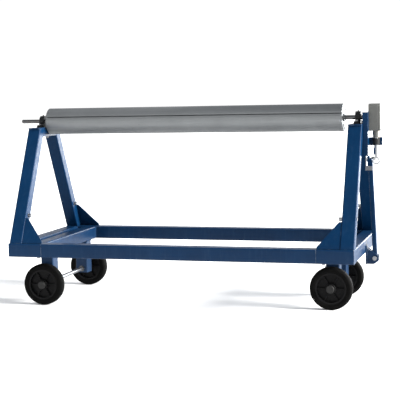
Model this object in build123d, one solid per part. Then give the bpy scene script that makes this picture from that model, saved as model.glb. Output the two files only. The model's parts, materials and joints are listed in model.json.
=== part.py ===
from build123d import *
import os
from math import sin, cos, tan, atan2, radians, degrees, pi, hypot

os.makedirs("parts", exist_ok=True)

# ---------------------------------------------------------------- dimensions
# millimetres.  X runs along the roller, -Y is the operator's front, Z is up.
# The origin is on the floor, at the centre of the bounding box.
TUBE = 80.0            # square tube of the base
WALL = 4.0             # tube wall
BASE_L = 2074.0        # base length along X
BASE_D = 966.0         # base depth along Y
RAIL_Z = 305.0         # underside of the rails above the floor
JOINT_X = 826.0        # where the long rails meet the end-frame stubs
INNER_X0, INNER_X1 = 826.0, 906.0   # inner cross members
CORNER_R = 7.0         # outer corner radius of the tube

LEG_D = 60.0           # leg tube depth, 80 wide
FOOT_Y = 470.0         # |Y| of the leg's outer face on top of the rail
TOP_Y = 144.0          # |Y| of the leg's outer face at its top
AXIS_Z = 1100.0        # roller axis above the floor
BRG_H = 36.5           # bearing centre above its seat
SEAT_T = 8.0           # seat plate
BEAM_H = 47.5          # beam between the leg tops
GUSSET_X, GUSSET_Z, GUSSET_T = 131.0, 145.0, 6.0

ROLL_R = 81.0          # roller tube outer radius
ROLL_WALL = 4.0
ROLL_X0, ROLL_X1 = -948.0, 912.0
GROOVE_R = 74.0        # radius on which the cover-cord bore lies
GROOVE_BORE = 5.5      # radius of the cover-cord bore
GROOVE_SLIT = 6.0      # width of the mouth
GROOVE_ANG = 19.0      # degrees above horizontal, front side
SHAFT_R = 12.5
BRG_X = 997.0          # bearing planes at +-X
SHAFT_END = 1141.0     # free end of the left stub shaft at -X

WHEEL_R = 125.0
WHEEL_W = 60.0
WHEEL_X = 866.0
WHEEL_YS = {-1: 360.0, 1: 220.0}   # wheel centre planes: wide track at -X, narrow at +X
POST_OUT, POST_IN = 48.0, 128.0    # wheel centre plane to the post's outer and inner face
HUB_HALF = 33.0
AXLE_R = 12.5
POST_Z = 100.0         # lower end of the wheel posts

GEAR_X = 1108.0        # plane of worm and worm wheel
WORM_Y = -63.0         # worm axis, centre distance 63
MODULE = 3.0
TEETH = 30
WORM_PITCH_R = 18.0
WORM_ECC = 2.2         # half the thread depth
ROD_R = 12.0
RUN = 0.06             # radial running clearance

RAIL_T = RAIL_Z + TUBE
SEAT_Z = AXIS_Z - BRG_H
LEG_TOP = SEAT_Z - SEAT_T
HX, HY = BASE_L / 2, BASE_D / 2
LEG_X0, LEG_X1 = HX - TUBE, HX
SLOPE = (FOOT_Y - TOP_Y) / (LEG_TOP - RAIL_T)      # dY per dZ
TILT = degrees(atan2(FOOT_Y - TOP_Y, LEG_TOP - RAIL_T))
LEG_H = LEG_D / cos(radians(TILT))                 # horizontal depth of a leg

written = []


def save(name, shape):
    if isinstance(shape, (list, tuple)):
        shape = Compound(children=[s for s in shape])
    elif isinstance(shape, ShapeList):
        shape = Compound(children=list(shape))
    export_step(shape, f"parts/{name}.step")
    written.append(name)
    return shape


def bx(x0, x1, y0, y1, z0, z1):
    return Pos((x0 + x1) / 2, (y0 + y1) / 2, (z0 + z1) / 2) * Box(abs(x1 - x0), abs(y1 - y0), abs(z1 - z0))


def cx(r, x0, x1, y=0.0, z=0.0):
    return Pos((x0 + x1) / 2, y, z) * Rot(0, 90, 0) * Cylinder(r, abs(x1 - x0))


def cy(r, y0, y1, x=0.0, z=0.0):
    return Pos(x, (y0 + y1) / 2, z) * Rot(90, 0, 0) * Cylinder(r, abs(y1 - y0))


def cz(r, z0, z1, x=0.0, y=0.0):
    return Pos(x, y, (z0 + z1) / 2) * Cylinder(r, abs(z1 - z0))


def hexz(af, z0, z1, x, y):
    return Pos(x, y, z0) * extrude(RegularPolygon(af / 2, 6, major_radius=False), z1 - z0)


def hexx(af, x0, x1, y, z):
    return Pos(x0, y, z) * Rot(0, 90, 0) * extrude(RegularPolygon(af / 2, 6, major_radius=False), x1 - x0)


def tube_x(x0, x1, y0, y1, z0, z1, wall=WALL, r=CORNER_R):
    w, h = y1 - y0, z1 - z0
    sk = RectangleRounded(h, w, r) - RectangleRounded(h - 2 * wall, w - 2 * wall, max(r - wall, 1))
    return Pos(x0, (y0 + y1) / 2, (z0 + z1) / 2) * Rot(0, 90, 0) * extrude(sk, x1 - x0)


def tube_y(x0, x1, y0, y1, z0, z1, wall=WALL, r=CORNER_R):
    w, h = x1 - x0, z1 - z0
    sk = RectangleRounded(w, h, r) - RectangleRounded(w - 2 * wall, h - 2 * wall, max(r - wall, 1))
    return Pos((x0 + x1) / 2, y1, (z0 + z1) / 2) * Rot(90, 0, 0) * extrude(sk, y1 - y0)


def tube_z(x0, x1, y0, y1, z0, z1, wall=WALL, r=CORNER_R):
    w, h = x1 - x0, y1 - y0
    sk = RectangleRounded(w, h, r) - RectangleRounded(w - 2 * wall, h - 2 * wall, max(r - wall, 1))
    return Pos((x0 + x1) / 2, (y0 + y1) / 2, z0) * extrude(sk, z1 - z0)


# ---------------------------------------------------------------- base rails
BOLT_X = 861.0      # splice bolts come up from below, behind the joint
stubs = []
for nm, s in (("front", -1), ("rear", 1)):
    y0, y1 = (-HY, -HY + TUBE) if s < 0 else (HY - TUBE, HY)
    rail = tube_x(-JOINT_X + 0.5, JOINT_X - 0.5, y0, y1, RAIL_Z, RAIL_T)
    save(f"{nm}_rail", rail)
    for side, t in (("left", -1), ("right", 1)):
        a, b = sorted((t * (JOINT_X + 0.5), t * (HX - 3.0)))
        stub = tube_x(a, b, y0, y1, RAIL_Z, RAIL_T)
        yc = (y0 + y1) / 2
        stub -= cz(6.5, RAIL_Z - 1, RAIL_Z + 10, t * BOLT_X, yc)
        stubs.append(stub)
save("rail_stubs", stubs)

splices, sbolts, ends = [], [], []
for s in (-1, 1):
    yc = s * (HY - TUBE / 2)
    for t in (-1, 1):
        i = TUBE / 2 - WALL - 0.4
        a, b = sorted((t * (JOINT_X - 110), t * (JOINT_X + 78)))
        sp = tube_x(a, b, yc - i, yc + i, RAIL_Z + TUBE / 2 - i, RAIL_Z + TUBE / 2 + i, 5.0, 3.0)
        sp -= cz(6.0, RAIL_Z - 1, RAIL_Z + 20, t * BOLT_X, yc)
        splices.append(sp)
        bolt = cz(5.9, RAIL_Z, RAIL_Z + 26, t * BOLT_X, yc) + hexz(19, RAIL_Z - 9.5, RAIL_Z - 2.0, t * BOLT_X, yc)
        bolt += cz(12.0, RAIL_Z - 2.0, RAIL_Z, t * BOLT_X, yc)
        sbolts.append(bolt)
        e = bx(t * (HX - 3.0), t * HX, yc - TUBE / 2, yc + TUBE / 2, RAIL_Z, RAIL_T)
        ends.append(fillet(e.edges().filter_by(Axis.X), CORNER_R - 1))
save("rail_splices", splices)
save("splice_bolts", sbolts)
save("rail_end_plates", ends)

# ---------------------------------------------------------------- cross members
outer_members = []
for side, t in (("left", -1), ("right", 1)):
    a, b = sorted((t * LEG_X0, t * LEG_X1))
    outer_members.append(tube_y(a, b, -HY + TUBE, HY - TUBE, RAIL_Z, RAIL_T))
    a, b = sorted((t * INNER_X0, t * INNER_X1))
    save(f"{side}_inner_cross_member", tube_y(a, b, -HY + TUBE, HY - TUBE, RAIL_Z, RAIL_T))
save("outer_cross_members", outer_members)

# ---------------------------------------------------------------- wheel posts, bushes, axles
bushes, caps, posts, axles = [], [], [], []
BUSH_R = 19.0
for side, t in (("left", -1), ("right", 1)):
    wheel_y = WHEEL_YS[t]
    post_y0, post_y1 = wheel_y - POST_IN, wheel_y - POST_OUT
    for s in (-1, 1):
        y0, y1 = sorted((s * post_y0, s * post_y1))
        p = tube_z(t * WHEEL_X - 40, t * WHEEL_X + 40, y0, y1, POST_Z, RAIL_Z)
        p -= cy(BUSH_R, y0 - 5, y1 + 5, t * WHEEL_X, WHEEL_R)
        posts.append(p)
        b = cy(BUSH_R, y0 - 1.0, y1 + 1.0, t * WHEEL_X, WHEEL_R) - cy(AXLE_R, y0 - 5, y1 + 5, t * WHEEL_X, WHEEL_R)
        bushes.append(b)
    ax_end = wheel_y + HUB_HALF + 12
    axle = cy(AXLE_R, -ax_end, ax_end, t * WHEEL_X, WHEEL_R)
    axle = chamfer(axle.edges().filter_by(GeomType.CIRCLE), 1.0)
    axles.append(axle)
    for s in (-1, 1):
        o = s * (wheel_y + HUB_HALF + 0.6)
        f = s * (ax_end + 4.0)
        y0, y1 = sorted((o, f))
        cap = cy(23.0, y0, y1, t * WHEEL_X, WHEEL_R)
        edge = cap.faces().sort_by(Axis.Y)[0 if s < 0 else -1].edges()
        cap = fillet(edge, 4.0)
        yi0, yi1 = sorted((o, s * ax_end))
        cap -= cy(AXLE_R, yi0 - (2 if s > 0 else 0), yi1 + (2 if s < 0 else 0), t * WHEEL_X, WHEEL_R)
        caps.append(cap)
        w0, w1 = sorted((s * (post_y1 + 1.0), s * (wheel_y - HUB_HALF - 0.6)))
        caps.append(cy(17.0, w0, w1, t * WHEEL_X, WHEEL_R) - cy(AXLE_R, w0 - 1, w1 + 1, t * WHEEL_X, WHEEL_R))
save("wheel_posts", posts)
save("axles", axles)
save("axle_bushes", bushes)
save("axle_caps_and_spacers", caps)


# ---------------------------------------------------------------- wheels
def wheel(nm, x, y):
    # tyre: crowned tread with shallow transverse lugs, rounded shoulders
    hw, ri, ro = WHEEL_W / 2, 88.0, WHEEL_R
    with BuildPart() as tp:
        with BuildSketch(Plane.XZ) as sk:
            with BuildLine():
                l1 = Polyline((ri, -hw + 6), (ri + 4, -hw + 3), (ri + 14, -hw), (ro - 14, -hw))
                l2 = ThreePointArc(l1 @ 1, (ro - 4.5, -hw + 5.0), (ro - 0.6, -hw + 16))
                l3 = ThreePointArc(l2 @ 1, (ro, 0), (ro - 0.6, hw - 16))
                l4 = ThreePointArc(l3 @ 1, (ro - 4.5, hw - 5.0), (ro - 14, hw))
                l5 = Polyline(l4 @ 1, (ri + 14, hw), (ri + 4, hw - 3), (ri, hw - 6), (ri, -hw + 6))
            make_face()
        revolve(axis=Axis.Z)
    tyre = tp.part
    # circumferential tread grooves
    for zz in (-11.0, 11.0):
        tyre -= Pos(0, 0, zz) * (Cylinder(ro + 2, 4.0) - Cylinder(ro - 4.0, 4.0))
    # two-part rim: felloe, dished web with lightening pockets, hub
    rim = Cylinder(ri, 2 * (hw - 6)) - Cylinder(ri - 7, 2 * hw)
    for zz in (-1, 1):
        rim += Pos(0, 0, zz * (hw - 5.5)) * (Cylinder(ri + 3.4, 3.0) - Cylinder(ri - 7, 3.0))
    rim += Cylinder(ri - 6, 10)
    hub = Cylinder(30.0, 2 * HUB_HALF)
    hub = chamfer(hub.edges().filter_by(GeomType.CIRCLE), 2.0)
    rim += hub
    for k in range(6):
        for zz in (-1, 1):
            rib = Pos(58, 0, zz * 11.0) * Box(50, 5, 14)
            rim += Rot(0, 0, 60 * k) * rib
    rim -= Cylinder(AXLE_R + RUN, 200)
    tyre -= Cylinder(ri, 2 * hw - 12)
    for zz in (-1, 1):
        tyre -= Pos(0, 0, zz * (hw - 5.5)) * Cylinder(ri + 3.4, 3.0)
    place = Pos(x, y, WHEEL_R) * Rot(90, 0, 0)
    save(f"{nm}_tyre", place * tyre)
    save(f"{nm}_rim", place * rim)


for nm, t, s in (("front_left", -1, -1), ("front_right", 1, -1), ("rear_left", -1, 1), ("rear_right", 1, 1)):
    wheel(nm, t * WHEEL_X, s * WHEEL_YS[t])


# ---------------------------------------------------------------- A-frames
def leg_prism(x0, x1, inset, z0, z1, s, extra=0.0):
    """Parallelogram prism of a leg: inset shrinks it on every side."""
    def yo(z):
        return FOOT_Y - SLOPE * (z - RAIL_T)
    ih = inset / cos(radians(TILT))
    pts = [(s * (yo(z0) - ih), z0), (s * (yo(z0) - LEG_H + ih), z0),
           (s * (yo(z1) - LEG_H + ih), z1), (s * (yo(z1) - ih), z1)]
    with BuildSketch(Plane.YZ) as sk:
        Polygon(*pts, align=None)
    return Pos(x0 + inset, 0, 0) * extrude(sk.sketch, x1 - x0 - 2 * inset)


spigots, lbolts, gussets = [], [], []
BOLT_Z = RAIL_T + 158.0
for side, t in (("left", -1), ("right", 1)):
    a, b = sorted((t * LEG_X0, t * LEG_X1))
    for nm, s in (("front", -1), ("rear", 1)):
        outer = leg_prism(a, b, 0.0, RAIL_T, LEG_TOP, s)
        long_edges = [e for e in outer.edges() if abs(e.length - hypot(LEG_TOP - RAIL_T, SLOPE * (LEG_TOP - RAIL_T))) < 0.5]
        outer = fillet(long_edges, 6.0)
        leg = outer - leg_prism(a, b, WALL, RAIL_T - 1, LEG_TOP + 1, s)
        zb = BOLT_Z
        yb = s * (FOOT_Y - SLOPE * (zb - RAIL_T) - LEG_H / 2)
        leg -= cx(6.2, a - 5, b + 5, yb, zb)
        save(f"{nm}_{side}_leg", leg)
        sp = leg_prism(a, b, WALL + 0.4, RAIL_T, RAIL_T + 190, s) - leg_prism(a, b, WALL + 5.4, RAIL_T - 1, RAIL_T + 191, s)
        sp -= cx(6.2, a - 5, b + 5, yb, zb)
        spigots.append(sp)
        inner, outerx = t * LEG_X0, t * LEG_X1
        q0, q1 = sorted((inner - t * 16.0, outerx + t * 1.0))
        bolt = cx(6.0, q0, q1, yb, zb)
        n0, n1 = sorted((inner - t * 2.0, inner - t * 20.0))
        bolt += cx(12.0, *sorted((inner, inner - t * 2.0)), yb, zb)
        bolt += hexx(19.0, n0, n1, yb, zb)
        h0, h1 = sorted((outerx, outerx + t * 3.0))
        bolt += cx(11.0, h0, h1, yb, zb)
        lbolts.append(bolt)
        # gusset, lying just behind the leg's outer face and leaning with it
        gx0 = t * LEG_X0
        L = GUSSET_Z / cos(radians(TILT))
        with BuildSketch(Plane.XZ) as gs:
            Polygon((0, 0), (-t * GUSSET_X, 0), (-t * GUSSET_X, 12), (-t * 14, L), (0, L), align=None)
        g = extrude(gs.sketch, GUSSET_T / 2, both=True)
        g = Pos(gx0, s * (FOOT_Y - 2.5 - GUSSET_T / 2 / cos(radians(TILT))), RAIL_T) * Rot(-TILT if s < 0 else TILT, 0, 0) * g
        g = g & bx(gx0 - 400, gx0 + 400, -HY, HY, RAIL_T, RAIL_T + 400)
        gussets.append(g)
save("leg_spigots", spigots)
save("leg_bolts", lbolts)
save("gussets", gussets)

seats, beams = [], []
for side, t in (("left", -1), ("right", 1)):
    a, b = sorted((t * LEG_X0, t * LEG_X1))

    def yi(z):
        return FOOT_Y - SLOPE * (z - RAIL_T) - LEG_H
    z0, z1 = LEG_TOP - BEAM_H, LEG_TOP
    with BuildSketch(Plane.YZ) as bs:
        Polygon((-yi(z0), z0), (yi(z0), z0), (yi(z1), z1), (-yi(z1), z1), align=None)
    beam = Pos(a, 0, 0) * extrude(bs.sketch, b - a)
    beam -= bx(a + WALL, b - WALL, -200, 200, z0 + WALL, z1 - WALL)
    for s in (-1, 1):
        beam -= cz(5.5, z0 - 5, z1 + 5, t * BRG_X, s * 52.5)
    beams.append(beam)
    seat = bx(a, b, -150, 150, LEG_TOP, SEAT_Z)
    seat = fillet(seat.edges().filter_by(Axis.Z), 6.0)
    for s in (-1, 1):
        seat -= cz(5.5, LEG_TOP - 2, SEAT_Z + 2, t * BRG_X, s * 52.5)
    seats.append(seat)
save("bearing_seat_plates", seats)
save("top_beams", beams)

# ---------------------------------------------------------------- pillow-block bearings
BRG_OD, BRG_OW, IN_W = 52.0, 17.0, 34.0
bolts, nuts, outers, inners, balls = [], [], [], [], []
for side, t in (("left", -1), ("right", 1)):
    x = t * BRG_X
    base = bx(x - 19, x + 19, -70, 70, SEAT_Z, SEAT_Z + 15)
    base = fillet(base.edges().filter_by(Axis.Z), 8.0)
    body = cx(34.5, x - 15, x + 15, 0, AXIS_Z)
    web = bx(x - 12, x + 12, -50, 50, SEAT_Z + 10, SEAT_Z + 24)
    h = base + body + web
    h = h & bx(x - 40, x + 40, -90, 90, SEAT_Z, AXIS_Z + 60)
    h += cz(4.0, AXIS_Z + 30, AXIS_Z + 40, x, 0)                # grease nipple
    h -= cx(BRG_OD / 2, x - BRG_OW / 2, x + BRG_OW / 2, 0, AXIS_Z)
    h -= cx(22.5, x - 30, x + 30, 0, AXIS_Z)
    for s in (-1, 1):
        h -= cz(5.75, SEAT_Z - 1, SEAT_Z + 40, x, s * 52.5)
        h -= cz(11.5, SEAT_Z + 15, SEAT_Z + 40, x, s * 52.5)
        bo = cz(5.0, LEG_TOP - BEAM_H - 14, SEAT_Z + 17, x, s * 52.5)
        bo += cz(10.0, SEAT_Z + 15, SEAT_Z + 17, x, s * 52.5) + hexz(17, SEAT_Z + 17, SEAT_Z + 23.4, x, s * 52.5)
        bolts.append(bo)
        nu = hexz(17, LEG_TOP - BEAM_H - 10, LEG_TOP - BEAM_H - 2, x, s * 52.5) + cz(10.0, LEG_TOP - BEAM_H - 2, LEG_TOP - BEAM_H, x, s * 52.5)
        nu -= cz(5.0, LEG_TOP - BEAM_H - 15, LEG_TOP, x, s * 52.5)
        nuts.append(nu)
    save(f"{side}_bearing_housing", h)
    race = Pos(x, 0, AXIS_Z) * Rot(0, 90, 0) * Torus(19.75, 4.2)
    o = cx(BRG_OD / 2, x - BRG_OW / 2, x + BRG_OW / 2, 0, AXIS_Z) - cx(22.0, x - 30, x + 30, 0, AXIS_Z)
    outers.append(o - race)
    i = cx(17.5, x - IN_W / 2, x + IN_W / 2, 0, AXIS_Z) - cx(SHAFT_R, x - 30, x + 30, 0, AXIS_Z)
    inners.append(i - race)
    for k in range(9):
        a = radians(40 * k)
        balls.append(Pos(x, 19.75 * cos(a), AXIS_Z + 19.75 * sin(a)) * Sphere(4.0))
save("bearing_outer_rings", outers)
save("bearing_inner_rings", inners)
save("bearing_balls", balls)
save("bearing_bolts", bolts)
save("bearing_nuts", nuts)

# ---------------------------------------------------------------- roller
gpos = []
for k in (0, 180):
    a = radians(180 - GROOVE_ANG + k)
    gpos.append((cos(a), sin(a)))


def along_x(sketch, x0, x1):
    # sketch is drawn with its local x = world Y and its local y = world Z
    return Pos(x0, 0, AXIS_Z) * extrude(Plane.YZ * sketch, x1 - x0)


ring = Circle(ROLL_R)
for c, s in gpos:
    # flat land on each side of the cord groove
    ring += Rot(0, 0, degrees(atan2(s, c))) * Pos(ROLL_R - 2.0, 0) * Rectangle(6.0, 26.0)
ring -= Circle(ROLL_R - ROLL_WALL)
for c, s in gpos:
    ring += Pos(GROOVE_R * c, GROOVE_R * s) * Circle(GROOVE_BORE + 3.2)
# four stiffening ribs inside the extrusion
for k in (45, 135, 225, 315):
    ring += Rot(0, 0, k - GROOVE_ANG) * Pos(ROLL_R - ROLL_WALL - 3.5, 0) * Rectangle(9.0, 5.0)
for c, s in gpos:
    ring -= Pos(GROOVE_R * c, GROOVE_R * s) * Circle(GROOVE_BORE)
    ring -= Rot(0, 0, degrees(atan2(s, c))) * Pos(GROOVE_R + 7.0, 0) * Rectangle(16.0, GROOVE_SLIT)
tube = along_x(ring, ROLL_X0, ROLL_X1)

plugs, pscrews = [], []
for t, xe in ((-1, ROLL_X0), (1, ROLL_X1)):
    d = Circle(ROLL_R - ROLL_WALL)
    for c, s in gpos:
        d -= Pos(GROOVE_R * c, GROOVE_R * s) * Circle(GROOVE_BORE + 3.6)
        d -= Rot(0, 0, degrees(atan2(s, c))) * Pos(GROOVE_R + 6, 0) * Rectangle(14, 10)
    for k in (45, 135, 225, 315):
        d -= Rot(0, 0, k - GROOVE_ANG) * Pos(ROLL_R - ROLL_WALL - 3.5, 0) * Rectangle(9.8, 5.8)
    a, b = sorted((xe - t * 1.0, xe - t * 23.0))
    plug = along_x(d, a, b)
    ha, hb = sorted((xe - t * 22.0, xe - t * 92.0))
    plug += cx(28.0, ha, hb, 0, AXIS_Z)
    plug += cx(22.0, *sorted((xe - t * 2.0, xe + t * 6.0)), 0, AXIS_Z)
    plug -= cx(SHAFT_R, -1200, 1200, 0, AXIS_Z)
    for k in (0, 180):
        plug -= along_x(Rot(0, 0, k + 90 - GROOVE_ANG) * Pos(48, 0) * Circle(9), a - 1, b + 1)
    xs = xe - t * 12.0
    for k in (0, 60, 120, 180, 240, 300):
        ang = radians(k + 71)
        R0, R1 = 62.0, ROLL_R + 2.6
        sc = Pos(xs, R0 * cos(ang), AXIS_Z + R0 * sin(ang)) * Rot(degrees(ang) - 90, 0, 0) * Pos(0, 0, 0) * Cylinder(3.0, R1 - R0, align=(Align.CENTER, Align.CENTER, Align.MIN))
        hd = Pos(xs, (ROLL_R - 0.3) * cos(ang), AXIS_Z + (ROLL_R - 0.3) * sin(ang)) * Rot(degrees(ang) - 90, 0, 0) * Cylinder(5.5, 2.9, align=(Align.CENTER, Align.CENTER, Align.MIN))
        pscrews.append(sc + hd)
    plugs.append(plug)
for sc in pscrews:
    tube = tube - sc
plugs2 = []
for p in plugs:
    for sc in pscrews:
        p = p - sc
    plugs2.append(p)
save("roller_tube", tube)
save("roller_end_plugs", plugs2)
save("plug_screws", pscrews)

ls = cx(SHAFT_R, -SHAFT_END, ROLL_X0 + 92.0, 0, AXIS_Z)
ls = chamfer(ls.edges().filter_by(GeomType.CIRCLE), 1.0)
# retaining groove just outside the bearing's inner ring
ls -= cx(SHAFT_R + 1, -BRG_X - 18.6, -BRG_X - 17.3, 0, AXIS_Z) - cx(SHAFT_R - 0.8, -BRG_X - 30, -BRG_X, 0, AXIS_Z)
save("left_stub_shaft", ls)
GEAR_END = GEAR_X + 20.0
rs = cx(SHAFT_R, ROLL_X1 - 92.0, GEAR_END, 0, AXIS_Z)
rs = chamfer(rs.edges().filter_by(GeomType.CIRCLE), 1.0)
key = bx(GEAR_X - 12, GEAR_X + 12, -4, 4, AXIS_Z + SHAFT_R - 4.0, AXIS_Z + SHAFT_R + 3.0)
rs -= key
save("right_stub_shaft", rs)
save("worm_wheel_key", key)

# ---------------------------------------------------------------- worm wheel and worm
PR = MODULE * TEETH / 2.0
TIP, ROOT = PR + WORM_ECC - 0.35, PR - WORM_ECC - 0.55
ww = Circle(ROOT)
for k in range(TEETH):
    t1, t2 = 1.75, 0.85       # half thickness at the root and at the tip
    tooth = Polygon((ROOT - 1.0, -t1), (TIP, -t2), (TIP, t2), (ROOT - 1.0, t1), align=None)
    ww += Rot(0, 0, 360.0 / TEETH * k) * tooth
wheel_gear = along_x(ww, GEAR_X - 7.0, GEAR_X + 7.0)
wheel_gear += cx(24.0, GEAR_X - 13, GEAR_X + 13, 0, AXIS_Z)
wheel_gear -= cx(SHAFT_R, GEAR_X - 30, GEAR_X + 30, 0, AXIS_Z)
wheel_gear -= key
save("worm_wheel", wheel_gear)

LEAD = pi * MODULE
TURNS = 5
ZW0 = AXIS_Z - LEAD * TURNS / 2
thread = Solid.extrude_linear_with_rotation(
    (Pos(WORM_ECC, 0, 0) * Circle(WORM_PITCH_R)).face(), (0, 0, 0), (0, 0, LEAD * TURNS), 360.0 * TURNS)
# at mid height the crest has to face a tooth gap of the wheel (+Y side of the worm)
PHASE = 90.0 + 180.0 - (360.0 * TURNS / 2) % 360.0
worm = Pos(GEAR_X, WORM_Y, ZW0) * Rot(0, 0, PHASE) * thread
ROD_BOT = 902.0
HOUSE_Z0, HOUSE_Z1 = 1022.0, 1178.0
shaft = cz(ROD_R, 890.0, ZW0 + 0.5, GEAR_X, WORM_Y) + cz(ROD_R, ZW0 + LEAD * TURNS - 0.5, HOUSE_Z1 - 12.0, GEAR_X, WORM_Y)
worm_shaft = shaft + worm
worm_shaft -= cy(3.0, WORM_Y - 30, WORM_Y + 30, GEAR_X, 908.0)
save("worm_shaft", worm_shaft)

# operating eye for the removable crank
EYE_Z = 850.0
eye = cy(22.0, WORM_Y - 6, WORM_Y + 6, GEAR_X, EYE_Z)
eye += bx(GEAR_X - 9, GEAR_X + 9, WORM_Y - 6, WORM_Y + 6, EYE_Z + 14, 889.0)
eye += cz(16.0, 886.0, 924.0, GEAR_X, WORM_Y)
eye -= cz(ROD_R, 890.0, 940.0, GEAR_X, WORM_Y)
eye -= cy(13.0, WORM_Y - 20, WORM_Y + 20, GEAR_X, EYE_Z)
eye -= cy(3.0, WORM_Y - 30, WORM_Y + 30, GEAR_X, 908.0)
save("crank_eye", eye)
save("eye_pin", cy(3.0, WORM_Y - 17.5, WORM_Y + 17.5, GEAR_X, 908.0))

# ---------------------------------------------------------------- gearbox
GX0, GSPLIT, GX1 = 1068.0, 1121.0, 1136.0
GY0, GY1 = -92.0, 58.0
hb = bx(GX0, GSPLIT, GY0, GY1, HOUSE_Z0, HOUSE_Z1)
hb = fillet(hb.edges().filter_by(Axis.X), 14.0)
lug = cz(20.0, HOUSE_Z0 - 38.0, HOUSE_Z0 + 6, GEAR_X, WORM_Y)
lug = lug & bx(GX0, GSPLIT - 0.0, -200, 200, 900, 1300)
hb += lug
cav = cx(PR + 6.0, GEAR_X - 22.0, GSPLIT + 1, 0, AXIS_Z)
cav += cz(WORM_PITCH_R + WORM_ECC + 2.5, ZW0 - 8, ZW0 + LEAD * TURNS + 8, GEAR_X, WORM_Y)
hb -= cav & bx(GX0 + 6, GSPLIT + 1, GY0 + 4, GY1 - 4, HOUSE_Z0 + 6, HOUSE_Z1 - 6)
hb -= cx(SHAFT_R + RUN, GX0 - 5, GEAR_X, 0, AXIS_Z)
hb -= cx(26.0, GX0 - 5, GX0 + 4, 0, AXIS_Z)
BUSH = 15.0
hb -= cz(BUSH, HOUSE_Z0 - 60, ZW0, GEAR_X, WORM_Y)
hb -= cz(BUSH, ZW0 + LEAD * TURNS, HOUSE_Z1 - 11.0, GEAR_X, WORM_Y)
cov = bx(GSPLIT, GX1, GY0, GY1, HOUSE_Z0, HOUSE_Z1)
cov = fillet(cov.edges().filter_by(Axis.X), 14.0)
cov = chamfer(cov.faces().sort_by(Axis.X)[-1].edges(), 4.0)
cov -= cz(WORM_PITCH_R + WORM_ECC + 2.5, ZW0 - 8, ZW0 + LEAD * TURNS + 8, GEAR_X, WORM_Y)
cov -= cz(BUSH, HOUSE_Z0 - 60, HOUSE_Z1 - 11.0, GEAR_X, WORM_Y)
cov -= cx(SHAFT_R + RUN, GSPLIT - 1, GEAR_END + 2.0, 0, AXIS_Z)
cov -= cx(30.0, GX1 - 2.0, GX1 + 2, 0, AXIS_Z) - cx(26.0, GX1 - 3.0, GX1 + 3, 0, AXIS_Z)
gscrews, mbolts = [], []
for y, z in ((GY0 + 10, HOUSE_Z0 + 10), (GY0 + 10, HOUSE_Z1 - 10), (GY1 - 10, HOUSE_Z0 + 10), (GY1 - 10, HOUSE_Z1 - 10)):
    sc = cx(3.0, GSPLIT - 22, GX1 - 3, y, z) + cx(5.0, GX1 - 5.0, GX1 + 0.0, y, z)
    sc -= hexx(5.0, GX1 - 3.0, GX1 + 1, y, z)
    cov -= cx(5.3, GX1 - 5.0, GX1 + 2, y, z)
    cov -= cx(3.0, GSPLIT - 2, GX1, y, z)
    hb -= cx(3.0, GSPLIT - 22, GSPLIT + 2, y, z)
    gscrews.append(sc)

# ---------------------------------------------------------------- drive bracket
DBX0, DBX1 = HX, GX0
DB_Z0, DB_Z1, DB_Y, DB_T = 880.0, 1130.0, 120.0, 6.0
db = bx(DBX1 - DB_T, DBX1, -DB_Y, DB_Y, DB_Z0, DB_Z1)
db += bx(DBX0, DBX1, -DB_Y, -DB_Y + DB_T, DB_Z0, DB_Z1)
db += bx(DBX0, DBX1, DB_Y - DB_T, DB_Y, DB_Z0, DB_Z1)
db += bx(DBX0, DBX1, -DB_Y, DB_Y, DB_Z0, DB_Z0 + DB_T)
db -= cx(19.0, DBX0 - 5, DBX1 + 5, 0, AXIS_Z)
for y, z in ((-70, 1040), (-70, 1115), (38, 1040), (38, 1115)):
    db -= cx(4.0, DBX1 - 10, DBX1 + 2, y, z)
    hb -= cx(4.0, DBX1 - 1, DBX1 + 12, y, z)
    mb = cx(4.0, DBX1 - 8, DBX1 + 12, y, z) + hexx(13.0, DBX1 - DB_T - 7.5, DBX1 - DB_T - 1.6, y, z) + cx(8.0, DBX1 - DB_T - 1.6, DBX1 - DB_T, y, z)
    mbolts.append(mb)
save("drive_bracket", db)
save("gearbox_mount_bolts", mbolts)
save("gearbox_housing", hb)
save("gearbox_cover", cov)
save("cover_screws", gscrews)

wb = []
for z0, z1 in ((HOUSE_Z0 - 38.0, HOUSE_Z0 + 4.0), (ZW0 + LEAD * TURNS + 10.0, HOUSE_Z1 - 11.0)):
    wb.append(cz(BUSH, z0, z1, GEAR_X, WORM_Y) - cz(ROD_R + RUN, z0 - 2, z1 + 2, GEAR_X, WORM_Y))
save("worm_bushes", wb)

# arm that steadies the lower end of the worm shaft
ARM_Z0, ARM_Z1 = 938.0, 984.0
arm = tube_x(DBX1, SHAFT_END - 4.0, -44.0, -4.0, ARM_Z0, ARM_Z1, 4.0, 5.0)
arm += bx(SHAFT_END - 4.0, SHAFT_END, -44.0, -4.0, ARM_Z0, ARM_Z1)
save("support_arm", arm)
sb = cz(19.0, ARM_Z0 + 4, ARM_Z1 - 4, GEAR_X, WORM_Y) + bx(GEAR_X - 19, GEAR_X + 19, WORM_Y, -44.0, ARM_Z0 + 4, ARM_Z1 - 4)
sb -= cz(ROD_R + RUN, ARM_Z0 - 5, ARM_Z1 + 5, GEAR_X, WORM_Y)
save("support_bush", sb)

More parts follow.
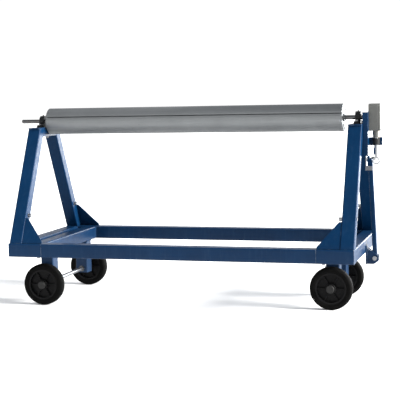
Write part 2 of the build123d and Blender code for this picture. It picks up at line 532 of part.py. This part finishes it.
# ---------------------------------------------------------------- drawbar
# Stowed upright against the drive end; folds outward and down about its pin.
DP_X, DP_Z = 1090.0, 275.0          # hinge pin axis, along Y
DT_X, DT_Z = 1066.0, 848.0          # handle axis, along +Y, when stowed
BAR = 26.0
D_LEN = hypot(DT_X - DP_X, DT_Z - DP_Z)
D_LEAN = degrees(atan2(DP_X - DT_X, DT_Z - DP_Z))
bar_s = RectangleRounded(BAR, BAR, 4.0) - RectangleRounded(BAR - 5, BAR - 5, 2.0)
bar = Pos(0, 0, 16.0) * extrude(bar_s, D_LEN - 16.0 - 10.5)
bar += cy(15.0, -13.0, 13.0) + bx(-11, 11, -12.9, 12.9, 0, 20)
bar += cy(11.0, -11.0, 118.0, 0, D_LEN)
bar -= cy(8.0 + RUN, -40, 40)
seat_d = Pos(DP_X, 0, DP_Z) * Rot(0, -D_LEAN, 0)
save("drawbar", seat_d * bar)
grip = cy(14.0, 20.0, 120.0, 0, D_LEN)
grip = fillet(grip.edges().filter_by(GeomType.CIRCLE), 3.0)
for k in range(8):
    yy = 30.0 + 11.0 * k
    grip -= cy(15.0, yy - 1.5, yy + 1.5, 0, D_LEN) - cy(13.0, yy - 3, yy + 3, 0, D_LEN)
grip -= cy(11.0, 18.0, 118.0, 0, D_LEN)
save("drawbar_grip", seat_d * grip)
brk = []
EAR = 8.0
with BuildSketch(Plane.XZ) as es:
    Polygon((HX, 240), (DP_X - 6, 240), (DP_X + 20, 258), (DP_X + 20, 292), (DP_X + 2, 304), (HX, 340), align=None)
ear = extrude(es.sketch, EAR / 2, both=True)
back = bx(HX, HX + 8.0, -30, 30, 240, 350)
clevis = back
for s in (-1, 1):
    clevis += Pos(0, s * (13.6 + EAR / 2), 0) * ear
clevis -= cy(8.0, -60, 60, DP_X, DP_Z)
save("drawbar_bracket", clevis)
dpin = cy(8.0, -27.0, 30.0, DP_X, DP_Z) + cy(12.5, -32.0, -27.0, DP_X, DP_Z)
dpin -= cx(2.0, DP_X - 20, DP_X + 20, 26.5, DP_Z)
save("drawbar_pin", dpin)
CL_Z0, CL_Z1 = 790.0, 815.0
def bar_x(z):
    return DP_X - (z - DP_Z) * tan(radians(D_LEAN))
xb = bar_x((CL_Z0 + CL_Z1) / 2)
clip = bx(DBX0 + 1, DBX0 + 7, -18, 18, CL_Z0, DB_Z0)
clip += bx(DBX0 + 1, DBX0 + 25, -18, 18, DB_Z0 - 5, DB_Z0)
for s in (-1, 1):
    y0, y1 = sorted((s * 14.2, s * 18.0))
    clip += bx(DBX0 + 1, xb + 13.0, y0, y1, CL_Z0, CL_Z1)
save("drawbar_clip", clip)

print(len(written), "nodes", "tilt", round(TILT, 2))
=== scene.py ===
import bpy, bmesh, json, random
from math import sin, cos, pi, radians, sqrt, atan2, hypot
from mathutils import Vector, Matrix, noise


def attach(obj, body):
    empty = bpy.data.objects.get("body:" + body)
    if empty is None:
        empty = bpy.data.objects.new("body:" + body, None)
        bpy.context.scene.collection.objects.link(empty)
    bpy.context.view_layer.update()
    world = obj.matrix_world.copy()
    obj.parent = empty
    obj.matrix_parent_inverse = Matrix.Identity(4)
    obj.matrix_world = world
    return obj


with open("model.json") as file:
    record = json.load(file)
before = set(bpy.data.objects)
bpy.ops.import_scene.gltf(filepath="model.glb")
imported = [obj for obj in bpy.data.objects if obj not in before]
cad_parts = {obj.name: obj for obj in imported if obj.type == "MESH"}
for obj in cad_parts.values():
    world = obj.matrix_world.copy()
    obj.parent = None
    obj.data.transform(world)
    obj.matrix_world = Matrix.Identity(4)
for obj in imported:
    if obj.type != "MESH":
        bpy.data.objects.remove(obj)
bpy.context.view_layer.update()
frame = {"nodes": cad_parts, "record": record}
rec = frame["record"]
nodes = frame["nodes"]
random.seed(7)


# ------------------------------------------------------------ node helpers
def new_mat(name):
    m = bpy.data.materials.new(name)
    m.use_nodes = True
    nt = m.node_tree
    nt.nodes.clear()
    out = nt.nodes.new("ShaderNodeOutputMaterial")
    b = nt.nodes.new("ShaderNodeBsdfPrincipled")
    nt.links.new(b.outputs[0], out.inputs[0])
    return m, nt, b


def N(nt, kind, **kw):
    n = nt.nodes.new(kind)
    for k, v in kw.items():
        if k in n.inputs:
            n.inputs[k].default_value = v
        else:
            setattr(n, k, v)
    return n


def coords(nt, scale=(1, 1, 1), loc=(0, 0, 0)):
    g = N(nt, "ShaderNodeTexCoord")
    mp = N(nt, "ShaderNodeMapping")
    mp.inputs["Scale"].default_value = scale
    mp.inputs["Location"].default_value = loc
    nt.links.new(g.outputs["Object"], mp.inputs["Vector"])
    return mp.outputs[0]


def noise_tex(nt, vec, scale, detail=4.0, rough=0.55, dist=0.0):
    n = N(nt, "ShaderNodeTexNoise", Scale=scale, Detail=detail, Roughness=rough, Distortion=dist)
    nt.links.new(vec, n.inputs["Vector"])
    return n.outputs["Fac"]


def ramp(nt, fac, stops):
    r = N(nt, "ShaderNodeValToRGB")
    el = r.color_ramp.elements
    while len(el) < len(stops):
        el.new(0.5)
    for e, (p, c) in zip(el, stops):
        e.position = p
        e.color = c if len(c) == 4 else (*c, 1)
    nt.links.new(fac, r.inputs[0])
    return r.outputs[0]


def mixc(nt, fac, a, b, mode="MIX"):
    m = N(nt, "ShaderNodeMix", data_type="RGBA", blend_type=mode)
    for sock, v in ((m.inputs[0], fac), (m.inputs[6], a), (m.inputs[7], b)):
        if isinstance(v, (tuple, list)):
            sock.default_value = v if len(v) == 4 else (*v, 1)
        elif isinstance(v, (int, float)):
            sock.default_value = v
        else:
            nt.links.new(v, sock)
    return m.outputs[2]


def math(nt, op, a, b=None, clamp=False):
    m = N(nt, "ShaderNodeMath", operation=op, use_clamp=clamp)
    for i, v in enumerate((a, b)):
        if v is None:
            continue
        if isinstance(v, (int, float)):
            m.inputs[i].default_value = v
        else:
            nt.links.new(v, m.inputs[i])
    return m.outputs[0]


def mapr(nt, v, a, b, c, d):
    m = N(nt, "ShaderNodeMapRange")
    nt.links.new(v, m.inputs[0])
    for i, x in enumerate((a, b, c, d)):
        m.inputs[i + 1].default_value = x
    return m.outputs[0]


def bump(nt, b, height, strength=0.3, dist=0.001, normal=None):
    n = N(nt, "ShaderNodeBump", Strength=strength, Distance=dist)
    nt.links.new(height, n.inputs["Height"])
    if normal is not None:
        nt.links.new(normal, n.inputs["Normal"])
    nt.links.new(n.outputs[0], b.inputs["Normal"])
    return n.outputs[0]


def edge_mask(nt, radius, lo=0.90, hi=0.995):
    """1 on convex and concave edges, 0 on flats."""
    bv = N(nt, "ShaderNodeBevel", samples=4, Radius=radius)
    geo = N(nt, "ShaderNodeNewGeometry")
    dot = N(nt, "ShaderNodeVectorMath", operation="DOT_PRODUCT")
    nt.links.new(bv.outputs[0], dot.inputs[0])
    nt.links.new(geo.outputs["Normal"], dot.inputs[1])
    return mapr(nt, dot.outputs["Value"], lo, hi, 1.0, 0.0), bv.outputs[0]


def height_z(nt):
    g = N(nt, "ShaderNodeNewGeometry")
    s = N(nt, "ShaderNodeSeparateXYZ")
    nt.links.new(g.outputs["Position"], s.inputs[0])
    return s.outputs["Z"]


# ------------------------------------------------------------ materials
def painted(name, col, dark, wear=(0.22, 0.27, 0.33), rough=0.36, dust=0.08):
    m, nt, b = new_mat(name)
    v = coords(nt)
    big = noise_tex(nt, v, 3.0, 5, 0.6)
    mid = noise_tex(nt, v, 26.0, 6, 0.6)
    fine = noise_tex(nt, v, 420.0, 3, 0.6)
    base = mixc(nt, ramp(nt, big, [(0.3, (0, 0, 0)), (0.72, (1, 1, 1))]), col, dark)
    # rain streaks drawn down the faces
    vs = coords(nt, (14, 14, 1.1))
    st = ramp(nt, noise_tex(nt, vs, 4.0, 6, 0.7), [(0.52, (0, 0, 0)), (0.78, (1, 1, 1))])
    base = mixc(nt, math(nt, "MULTIPLY", st, 0.06), base, (0.10, 0.17, 0.26))
    # chips on the edges
    e, rn = edge_mask(nt, 0.004)
    chip = math(nt, "MULTIPLY", e, ramp(nt, mid, [(0.50, (0, 0, 0)), (0.60, (1, 1, 1))]))
    base = mixc(nt, math(nt, "MULTIPLY", chip, 0.40), base, wear)
    # pale dust near the floor
    hz = mapr(nt, height_z(nt), 0.10, 0.42, 1.0, 0.0)
    du = math(nt, "MULTIPLY", math(nt, "MULTIPLY", hz, mid), dust)
    base = mixc(nt, du, base, (0.36, 0.35, 0.32))
    nt.links.new(base, b.inputs["Base Color"])
    r = math(nt, "ADD", mapr(nt, mid, 0.3, 0.7, rough - 0.07, rough + 0.10), math(nt, "MULTIPLY", du, 0.4), clamp=True)
    nt.links.new(r, b.inputs["Roughness"])
    b.inputs["Specular IOR Level"].default_value = 0.08
    b.inputs["Coat Weight"].default_value = 0.02
    b.inputs["Coat Roughness"].default_value = 0.16
    h = math(nt, "ADD", math(nt, "MULTIPLY", fine, 0.25), math(nt, "MULTIPLY", noise_tex(nt, v, 90.0, 3, 0.5), 1.0))
    bump(nt, b, h, 0.10, 0.0007, rn)
    return m


def alu_extrusion(name):
    m, nt, b = new_mat(name)
    b.inputs["Metallic"].default_value = 1.0
    v = coords(nt)
    # extrusion die lines run along X
    line = noise_tex(nt, coords(nt, (0.7, 260, 260)), 1.0, 5, 0.7)
    wide = noise_tex(nt, coords(nt, (0.35, 30, 30)), 1.0, 4, 0.6)
    blot = noise_tex(nt, v, 7.0, 6, 0.62, 0.4)
    c = mixc(nt, ramp(nt, blot, [(0.32, (0, 0, 0)), (0.75, (1, 1, 1))]), (0.195, 0.205, 0.210), (0.160, 0.168, 0.173))
    c = mixc(nt, math(nt, "MULTIPLY", ramp(nt, wide, [(0.40, (0, 0, 0)), (0.65, (1, 1, 1))]), 0.35), c, (0.245, 0.255, 0.260))
    # water marks
    w = N(nt, "ShaderNodeTexVoronoi", feature="F1", Scale=26.0)
    nt.links.new(v, w.inputs["Vector"])
    spot = ramp(nt, w.outputs["Distance"], [(0.04, (1, 1, 1)), (0.11, (0, 0, 0))])
    spot = math(nt, "MULTIPLY", spot, ramp(nt, noise_tex(nt, v, 4.0), [(0.52, (0, 0, 0)), (0.6, (1, 1, 1))]))
    c = mixc(nt, math(nt, "MULTIPLY", spot, 0.30), c, (0.13, 0.135, 0.14))
    nt.links.new(c, b.inputs["Base Color"])
    r = math(nt, "ADD", mapr(nt, line, 0.25, 0.75, 0.46, 0.60), math(nt, "MULTIPLY", spot, 0.25))
    nt.links.new(r, b.inputs["Roughness"])
    b.inputs["Anisotropic"].default_value = 0.3
    e, rn = edge_mask(nt, 0.0012)
    bump(nt, b, math(nt, "ADD", line, math(nt, "MULTIPLY", blot, 0.3)), 0.12, 0.0005, rn)
    return m


def turned_steel(name, col=(0.40, 0.41, 0.42), axis="x", rough=0.32, rust=0.25):
    m, nt, b = new_mat(name)
    b.inputs["Metallic"].default_value = 1.0
    v = coords(nt)
    sc = {"x": (900, 6, 6), "y": (6, 900, 6), "z": (6, 6, 900)}[axis]
    ring = noise_tex(nt, coords(nt, sc), 1.0, 2, 0.5)
    mid = noise_tex(nt, v, 60.0, 6, 0.65)
    oxide = ramp(nt, noise_tex(nt, v, 22.0, 8, 0.7), [(0.54, (0, 0, 0)), (0.70, (1, 1, 1))])
    c = mixc(nt, mid, col, tuple(0.72 * x for x in col))
    c = mixc(nt, math(nt, "MULTIPLY", oxide, rust), c, (0.16, 0.085, 0.045))
    nt.links.new(c, b.inputs["Base Color"])
    r = math(nt, "ADD", mapr(nt, ring, 0.3, 0.7, rough - 0.08, rough + 0.10), math(nt, "MULTIPLY", oxide, 0.3), clamp=True)
    nt.links.new(r, b.inputs["Roughness"])
    e, rn = edge_mask(nt, 0.0008)
    bump(nt, b, math(nt, "ADD", ring, math(nt, "MULTIPLY", oxide, 0.5)), 0.12, 0.0004, rn)
    return m


def zinc(name):
    m, nt, b = new_mat(name)
    b.inputs["Metallic"].default_value = 1.0
    v = coords(nt)
    w = N(nt, "ShaderNodeTexVoronoi", feature="F1", Scale=190.0)
    nt.links.new(v, w.inputs["Vector"])
    blot = noise_tex(nt, v, 35.0, 6, 0.6)
    c = mixc(nt, blot, (0.27, 0.28, 0.30), (0.18, 0.185, 0.195))
    c = mixc(nt, math(nt, "MULTIPLY", ramp(nt, noise_tex(nt, v, 80.0, 6, .7), [(0.60, (0, 0, 0)), (0.72, (1, 1, 1))]), 0.4), c, (0.24, 0.15, 0.09))
    nt.links.new(c, b.inputs["Base Color"])
    nt.links.new(mapr(nt, w.outputs["Distance"], 0.0, 0.7, 0.24, 0.46), b.inputs["Roughness"])
    e, rn = edge_mask(nt, 0.0009)
    bump(nt, b, blot, 0.12, 0.0003, rn)
    return m


def black_iron(name, col=(0.0075, 0.0080, 0.0090)):
    m, nt, b = new_mat(name)
    b.inputs["Specular IOR Level"].default_value = 0.16
    v = coords(nt)
    grain = noise_tex(nt, v, 330.0, 4, 0.7)
    blot = noise_tex(nt, v, 30.0, 6, 0.6)
    e, rn = edge_mask(nt, 0.0018)
    c = mixc(nt, blot, col, tuple(2.1 * x for x in col))
    chip = math(nt, "MULTIPLY", e, ramp(nt, noise_tex(nt, v, 120.0, 5, .7), [(0.52, (0, 0, 0)), (0.60, (1, 1, 1))]))
    c = mixc(nt, math(nt, "MULTIPLY", chip, 0.6), c, (0.20, 0.20, 0.205))
    nt.links.new(c, b.inputs["Base Color"])
    nt.links.new(mapr(nt, blot, 0.3, 0.7, 0.38, 0.56), b.inputs["Roughness"])
    bump(nt, b, grain, 0.35, 0.0008, rn)
    return m


def cast_alu(name, col=(0.115, 0.118, 0.112)):
    m, nt, b = new_mat(name)
    b.inputs["Specular IOR Level"].default_value = 0.20
    v = coords(nt)
    grain = noise_tex(nt, v, 260.0, 5, 0.7)
    blot = noise_tex(nt, v, 18.0, 6, 0.6)
    e, rn = edge_mask(nt, 0.0022)
    c = mixc(nt, blot, col, tuple(0.70 * x for x in col))
    c = mixc(nt, math(nt, "MULTIPLY", e, 0.30), c, (0.34, 0.35, 0.35))
    nt.links.new(c, b.inputs["Base Color"])
    b.inputs["Metallic"].default_value = 0.20
    nt.links.new(mapr(nt, grain, 0.3, 0.7, 0.40, 0.60), b.inputs["Roughness"])
    bump(nt, b, grain, 0.30, 0.0009, rn)
    return m


def rubber(name):
    m, nt, b = new_mat(name)
    v = coords(nt)
    fine = noise_tex(nt, v, 500.0, 4, 0.65)
    dust = noise_tex(nt, v, 16.0, 7, 0.65)
    scuff = noise_tex(nt, v, 120.0, 6, 0.75, 0.6)
    c = mixc(nt, ramp(nt, dust, [(0.40, (0, 0, 0)), (0.75, (1, 1, 1))]), (0.0013, 0.0013, 0.0014), (0.0045, 0.0045, 0.0042))
    c = mixc(nt, math(nt, "MULTIPLY", ramp(nt, scuff, [(0.56, (0, 0, 0)), (0.68, (1, 1, 1))]), 0.35), c, (0.014, 0.0135, 0.0125))
    nt.links.new(c, b.inputs["Base Color"])
    nt.links.new(mapr(nt, dust, 0.3, 0.7, 0.62, 0.82), b.inputs["Roughness"])
    b.inputs["Specular IOR Level"].default_value = 0.05
    bump(nt, b, math(nt, "ADD", fine, math(nt, "MULTIPLY", scuff, 0.8)), 0.30, 0.0006)
    return m


def plastic(name, col=(0.0030, 0.0030, 0.0033)):
    m, nt, b = new_mat(name)
    b.inputs["Specular IOR Level"].default_value = 0.09
    v = coords(nt)
    grain = noise_tex(nt, v, 700.0, 3, 0.6)
    blot = noise_tex(nt, v, 20.0, 6, 0.6)
    c = mixc(nt, blot, col, tuple(1.8 * x for x in col))
    nt.links.new(c, b.inputs["Base Color"])
    nt.links.new(mapr(nt, blot, 0.3, 0.7, 0.42, 0.60), b.inputs["Roughness"])
    e, rn = edge_mask(nt, 0.0012)
    bump(nt, b, grain, 0.25, 0.0004, rn)
    return m


def bronze(name):
    m, nt, b = new_mat(name)
    b.inputs["Metallic"].default_value = 1.0
    v = coords(nt)
    blot = noise_tex(nt, v, 60.0, 6, 0.6)
    c = mixc(nt, blot, (0.60, 0.40, 0.17), (0.42, 0.27, 0.12))
    nt.links.new(c, b.inputs["Base Color"])
    nt.links.new(mapr(nt, blot, 0.3, 0.7, 0.26, 0.44), b.inputs["Roughness"])
    bump(nt, b, noise_tex(nt, coords(nt, (300, 300, 300)), 1.0), 0.1, 0.0003)
    return m


MATS = {
    "blue_paint": painted("blue_paint", (0.0006, 0.0205, 0.0640), (0.0005, 0.0140, 0.0450)),
    "roller_aluminium": alu_extrusion("roller_aluminium"),
    "shaft_steel": turned_steel("shaft_steel"),
    "zinc_steel": zinc("zinc_steel"),
    "black_iron": black_iron("black_iron"),
    "gearbox_grey": cast_alu("gearbox_grey"),
    "tyre_rubber": rubber("tyre_rubber"),
    "rim_plastic": plastic("rim_plastic"),
    "bronze": bronze("bronze"),
    "grip_rubber": rubber("grip_rubber"),
}
MATS["cap_black"] = black_iron("cap_black", (0.0100, 0.0100, 0.0100))
MATS["shaft_dark"] = turned_steel("shaft_dark", (0.115, 0.118, 0.122), rust=0.35)
LOOK = {"axle_caps_and_spacers": "cap_black", "left_stub_shaft": "shaft_dark", "right_stub_shaft": "shaft_dark", "axle_bushes": "shaft_dark"}
slot_of = {s["node"]: s["material_slot"] for s in rec["subparts"]}
for name, ob in nodes.items():
    mat = MATS[LOOK.get(name, slot_of[name])]
    ob.data.materials.clear()
    ob.data.materials.append(mat)
MATS["weld"] = painted("weld_paint", (0.0008, 0.0225, 0.0690), (0.0006, 0.0155, 0.0490), dust=0.05)


# ------------------------------------------------------------ weld beads
def weld(name, pts, up, r=0.0042, body="frame", seed=0):
    """A rippled fillet bead along a polyline; up points out of the corner."""
    pts = [Vector(p) for p in pts]
    up = Vector(up).normalized()
    bm = bmesh.new()
    rings = []
    seg = 10
    total = sum((b - a).length for a, b in zip(pts, pts[1:]))
    step = 0.0016
    n = max(8, int(total / step))
    acc = [0.0]
    for a, b in zip(pts, pts[1:]):
        acc.append(acc[-1] + (b - a).length)
    for i in range(n + 1):
        s = total * i / n
        k = 0
        while k < len(acc) - 2 and s > acc[k + 1]:
            k += 1
        a, b = pts[k], pts[k + 1]
        d = (b - a).normalized()
        p = a + d * (s - acc[k])
        side = d.cross(up).normalized()
        wob = 0.14 * noise.noise(Vector((s * 55, seed * 3.1, 0)))
        rip = 0.07 * sin(s / 0.0032 * 2 * pi)
        end = min(1.0, 0.25 + min(s, total - s) / 0.004)
        rr = r * (1 + wob + rip) * end
        ring = []
        for j in range(seg):
            t = 2 * pi * j / seg
            lift = 0.62 if sin(t) > 0 else 0.9
            off = side * (cos(t) * rr * 1.05) + up * (sin(t) * rr * lift)
            off += d * (0.0009 * cos(t) * cos(t))
            ring.append(bm.verts.new(p + off))
        rings.append(ring)
    for a, b in zip(rings, rings[1:]):
        for j in range(seg):
            bm.faces.new((a[j], a[(j + 1) % seg], b[(j + 1) % seg], b[j]))
    bm.faces.new(list(reversed(rings[0])))
    bm.faces.new(rings[-1])
    bmesh.ops.recalc_face_normals(bm, faces=bm.faces[:])
    me = bpy.data.meshes.new(name)
    bm.to_mesh(me)
    bm.free()
    for p in me.polygons:
        p.use_smooth = True
    ob = bpy.data.objects.new(name, me)
    bpy.context.collection.objects.link(ob)
    ob.data.materials.append(MATS["weld"])
    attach(ob, body)
    return ob


WHEEL_Y = {-1: 0.360, 1: 0.220}
ZB, ZT, YR = 0.305, 0.385, 0.403
nw = 0
for t in (-1, 1):
    xi, xo = t * 0.826, t * 0.906
    for s in (-1, 1):
        ya, yb = s * (WHEEL_Y[t] - 0.128), s * (WHEEL_Y[t] - 0.048)
        # each wheel post to the underside of its cross member
        for tag, a, b, u in (("x0", (xi, ya, ZB), (xi, yb, ZB), (-t, 0, -1)), ("x1", (xo, ya, ZB), (xo, yb, ZB), (t, 0, -1)),
                             ("y0", (xi, ya, ZB), (xo, ya, ZB), (0, -s, -1)), ("y1", (xi, yb, ZB), (xo, yb, ZB), (0, s, -1))):
            nw += 1
            weld(f"weld_post_{nw:02d}", [a, b], u, seed=nw)
        # cross members to the rails: inside corners
        for x, dx in ((xi, -t), (xo, t), (t * 0.957, -t)):
            nw += 1
            weld(f"weld_member_{nw:02d}", [(x, s * YR, ZB + 0.004), (x, s * YR, ZT - 0.004)], (dx, -s, 0), seed=nw)


# ------------------------------------------------------------ floor, light, camera
def floor():
    me = bpy.data.meshes.new("floor")
    s = 40.0
    me.from_pydata([(-s, -s, 0), (s, -s, 0), (s, s, 0), (-s, s, 0)], [], [(0, 1, 2, 3)])
    ob = bpy.data.objects.new("floor", me)
    bpy.context.collection.objects.link(ob)
    m, nt, b = new_mat("floor_mat")
    v = coords(nt)
    c = mixc(nt, noise_tex(nt, v, 1.3, 5, 0.6), (0.93, 0.93, 0.93), (0.955, 0.955, 0.955))
    nt.links.new(c, b.inputs["Base Color"])
    b.inputs["Roughness"].default_value = 0.85
    b.inputs["Specular IOR Level"].default_value = 0.2
    ob.data.materials.append(m)


floor()
w = bpy.data.worlds.new("world")
bpy.context.scene.world = w
w.use_nodes = True
wt = w.node_tree
bg = wt.nodes["Background"]
tc = wt.nodes.new("ShaderNodeTexCoord")
sx = wt.nodes.new("ShaderNodeSeparateXYZ")
wt.links.new(tc.outputs["Generated"], sx.inputs[0])
wt.links.new(ramp(wt, sx.outputs["Z"], [(0.0, (1, 1, 1)), (0.14, (1, 1, 1)), (0.60, (0.62, 0.64, 0.67)), (1.0, (0.45, 0.47, 0.50))]), bg.inputs[0])
bg.inputs[1].default_value = 1.06


def area(name, loc, target, size, energy, col=(1, 1, 1)):
    l = bpy.data.lights.new(name, "AREA")
    l.shape = "RECTANGLE"
    l.size, l.size_y = size
    l.energy = energy
    l.color = col
    o = bpy.data.objects.new(name, l)
    bpy.context.collection.objects.link(o)
    o.location = loc
    d = Vector(target) - Vector(loc)
    o.rotation_euler = d.to_track_quat("-Z", "Y").to_euler()
    return o


def sun(name, direction, energy, angle, col=(1, 1, 1)):
    l = bpy.data.lights.new(name, "SUN")
    l.energy = energy
    l.angle = radians(angle)
    l.color = col
    o = bpy.data.objects.new(name, l)
    bpy.context.collection.objects.link(o)
    o.rotation_euler = Vector(direction).to_track_quat("-Z", "Y").to_euler()
    return o


sun("key", (-0.93, 0.05, -0.36), 13.0, 20.0, (1.0, 0.985, 0.96))
area("side_glow", (3.7, 10.0, 1.6), (0.3, 0.0, 0.8), (4.2, 4.4), 1100.0, (0.95, 0.98, 1.0))

CAM = (1.957, -6.552, 1.274)
YAW, PITCH, ROLL, FPX = radians(16.44), radians(-5.57), radians(-1.21), 1122.4
fwd = Vector((-sin(YAW) * cos(PITCH), cos(YAW) * cos(PITCH), sin(PITCH)))
right = Vector((cos(YAW), sin(YAW), 0))
up = right.cross(fwd)
r_ = right * cos(ROLL) + up * sin(ROLL)
u_ = -right * sin(ROLL) + up * cos(ROLL)
cam = bpy.data.cameras.new("camera")
cam.sensor_width = 36.0
cam.lens = FPX / 400.0 * 36.0
cam.clip_end = 200
co = bpy.data.objects.new("camera", cam)
bpy.context.collection.objects.link(co)
co.matrix_world = Matrix(((r_.x, u_.x, -fwd.x, CAM[0]), (r_.y, u_.y, -fwd.y, CAM[1]), (r_.z, u_.z, -fwd.z, CAM[2]), (0, 0, 0, 1)))
bpy.context.scene.camera = co
vs = bpy.context.scene.view_settings
vs.view_transform = "Standard"
vs.exposure = 0.0
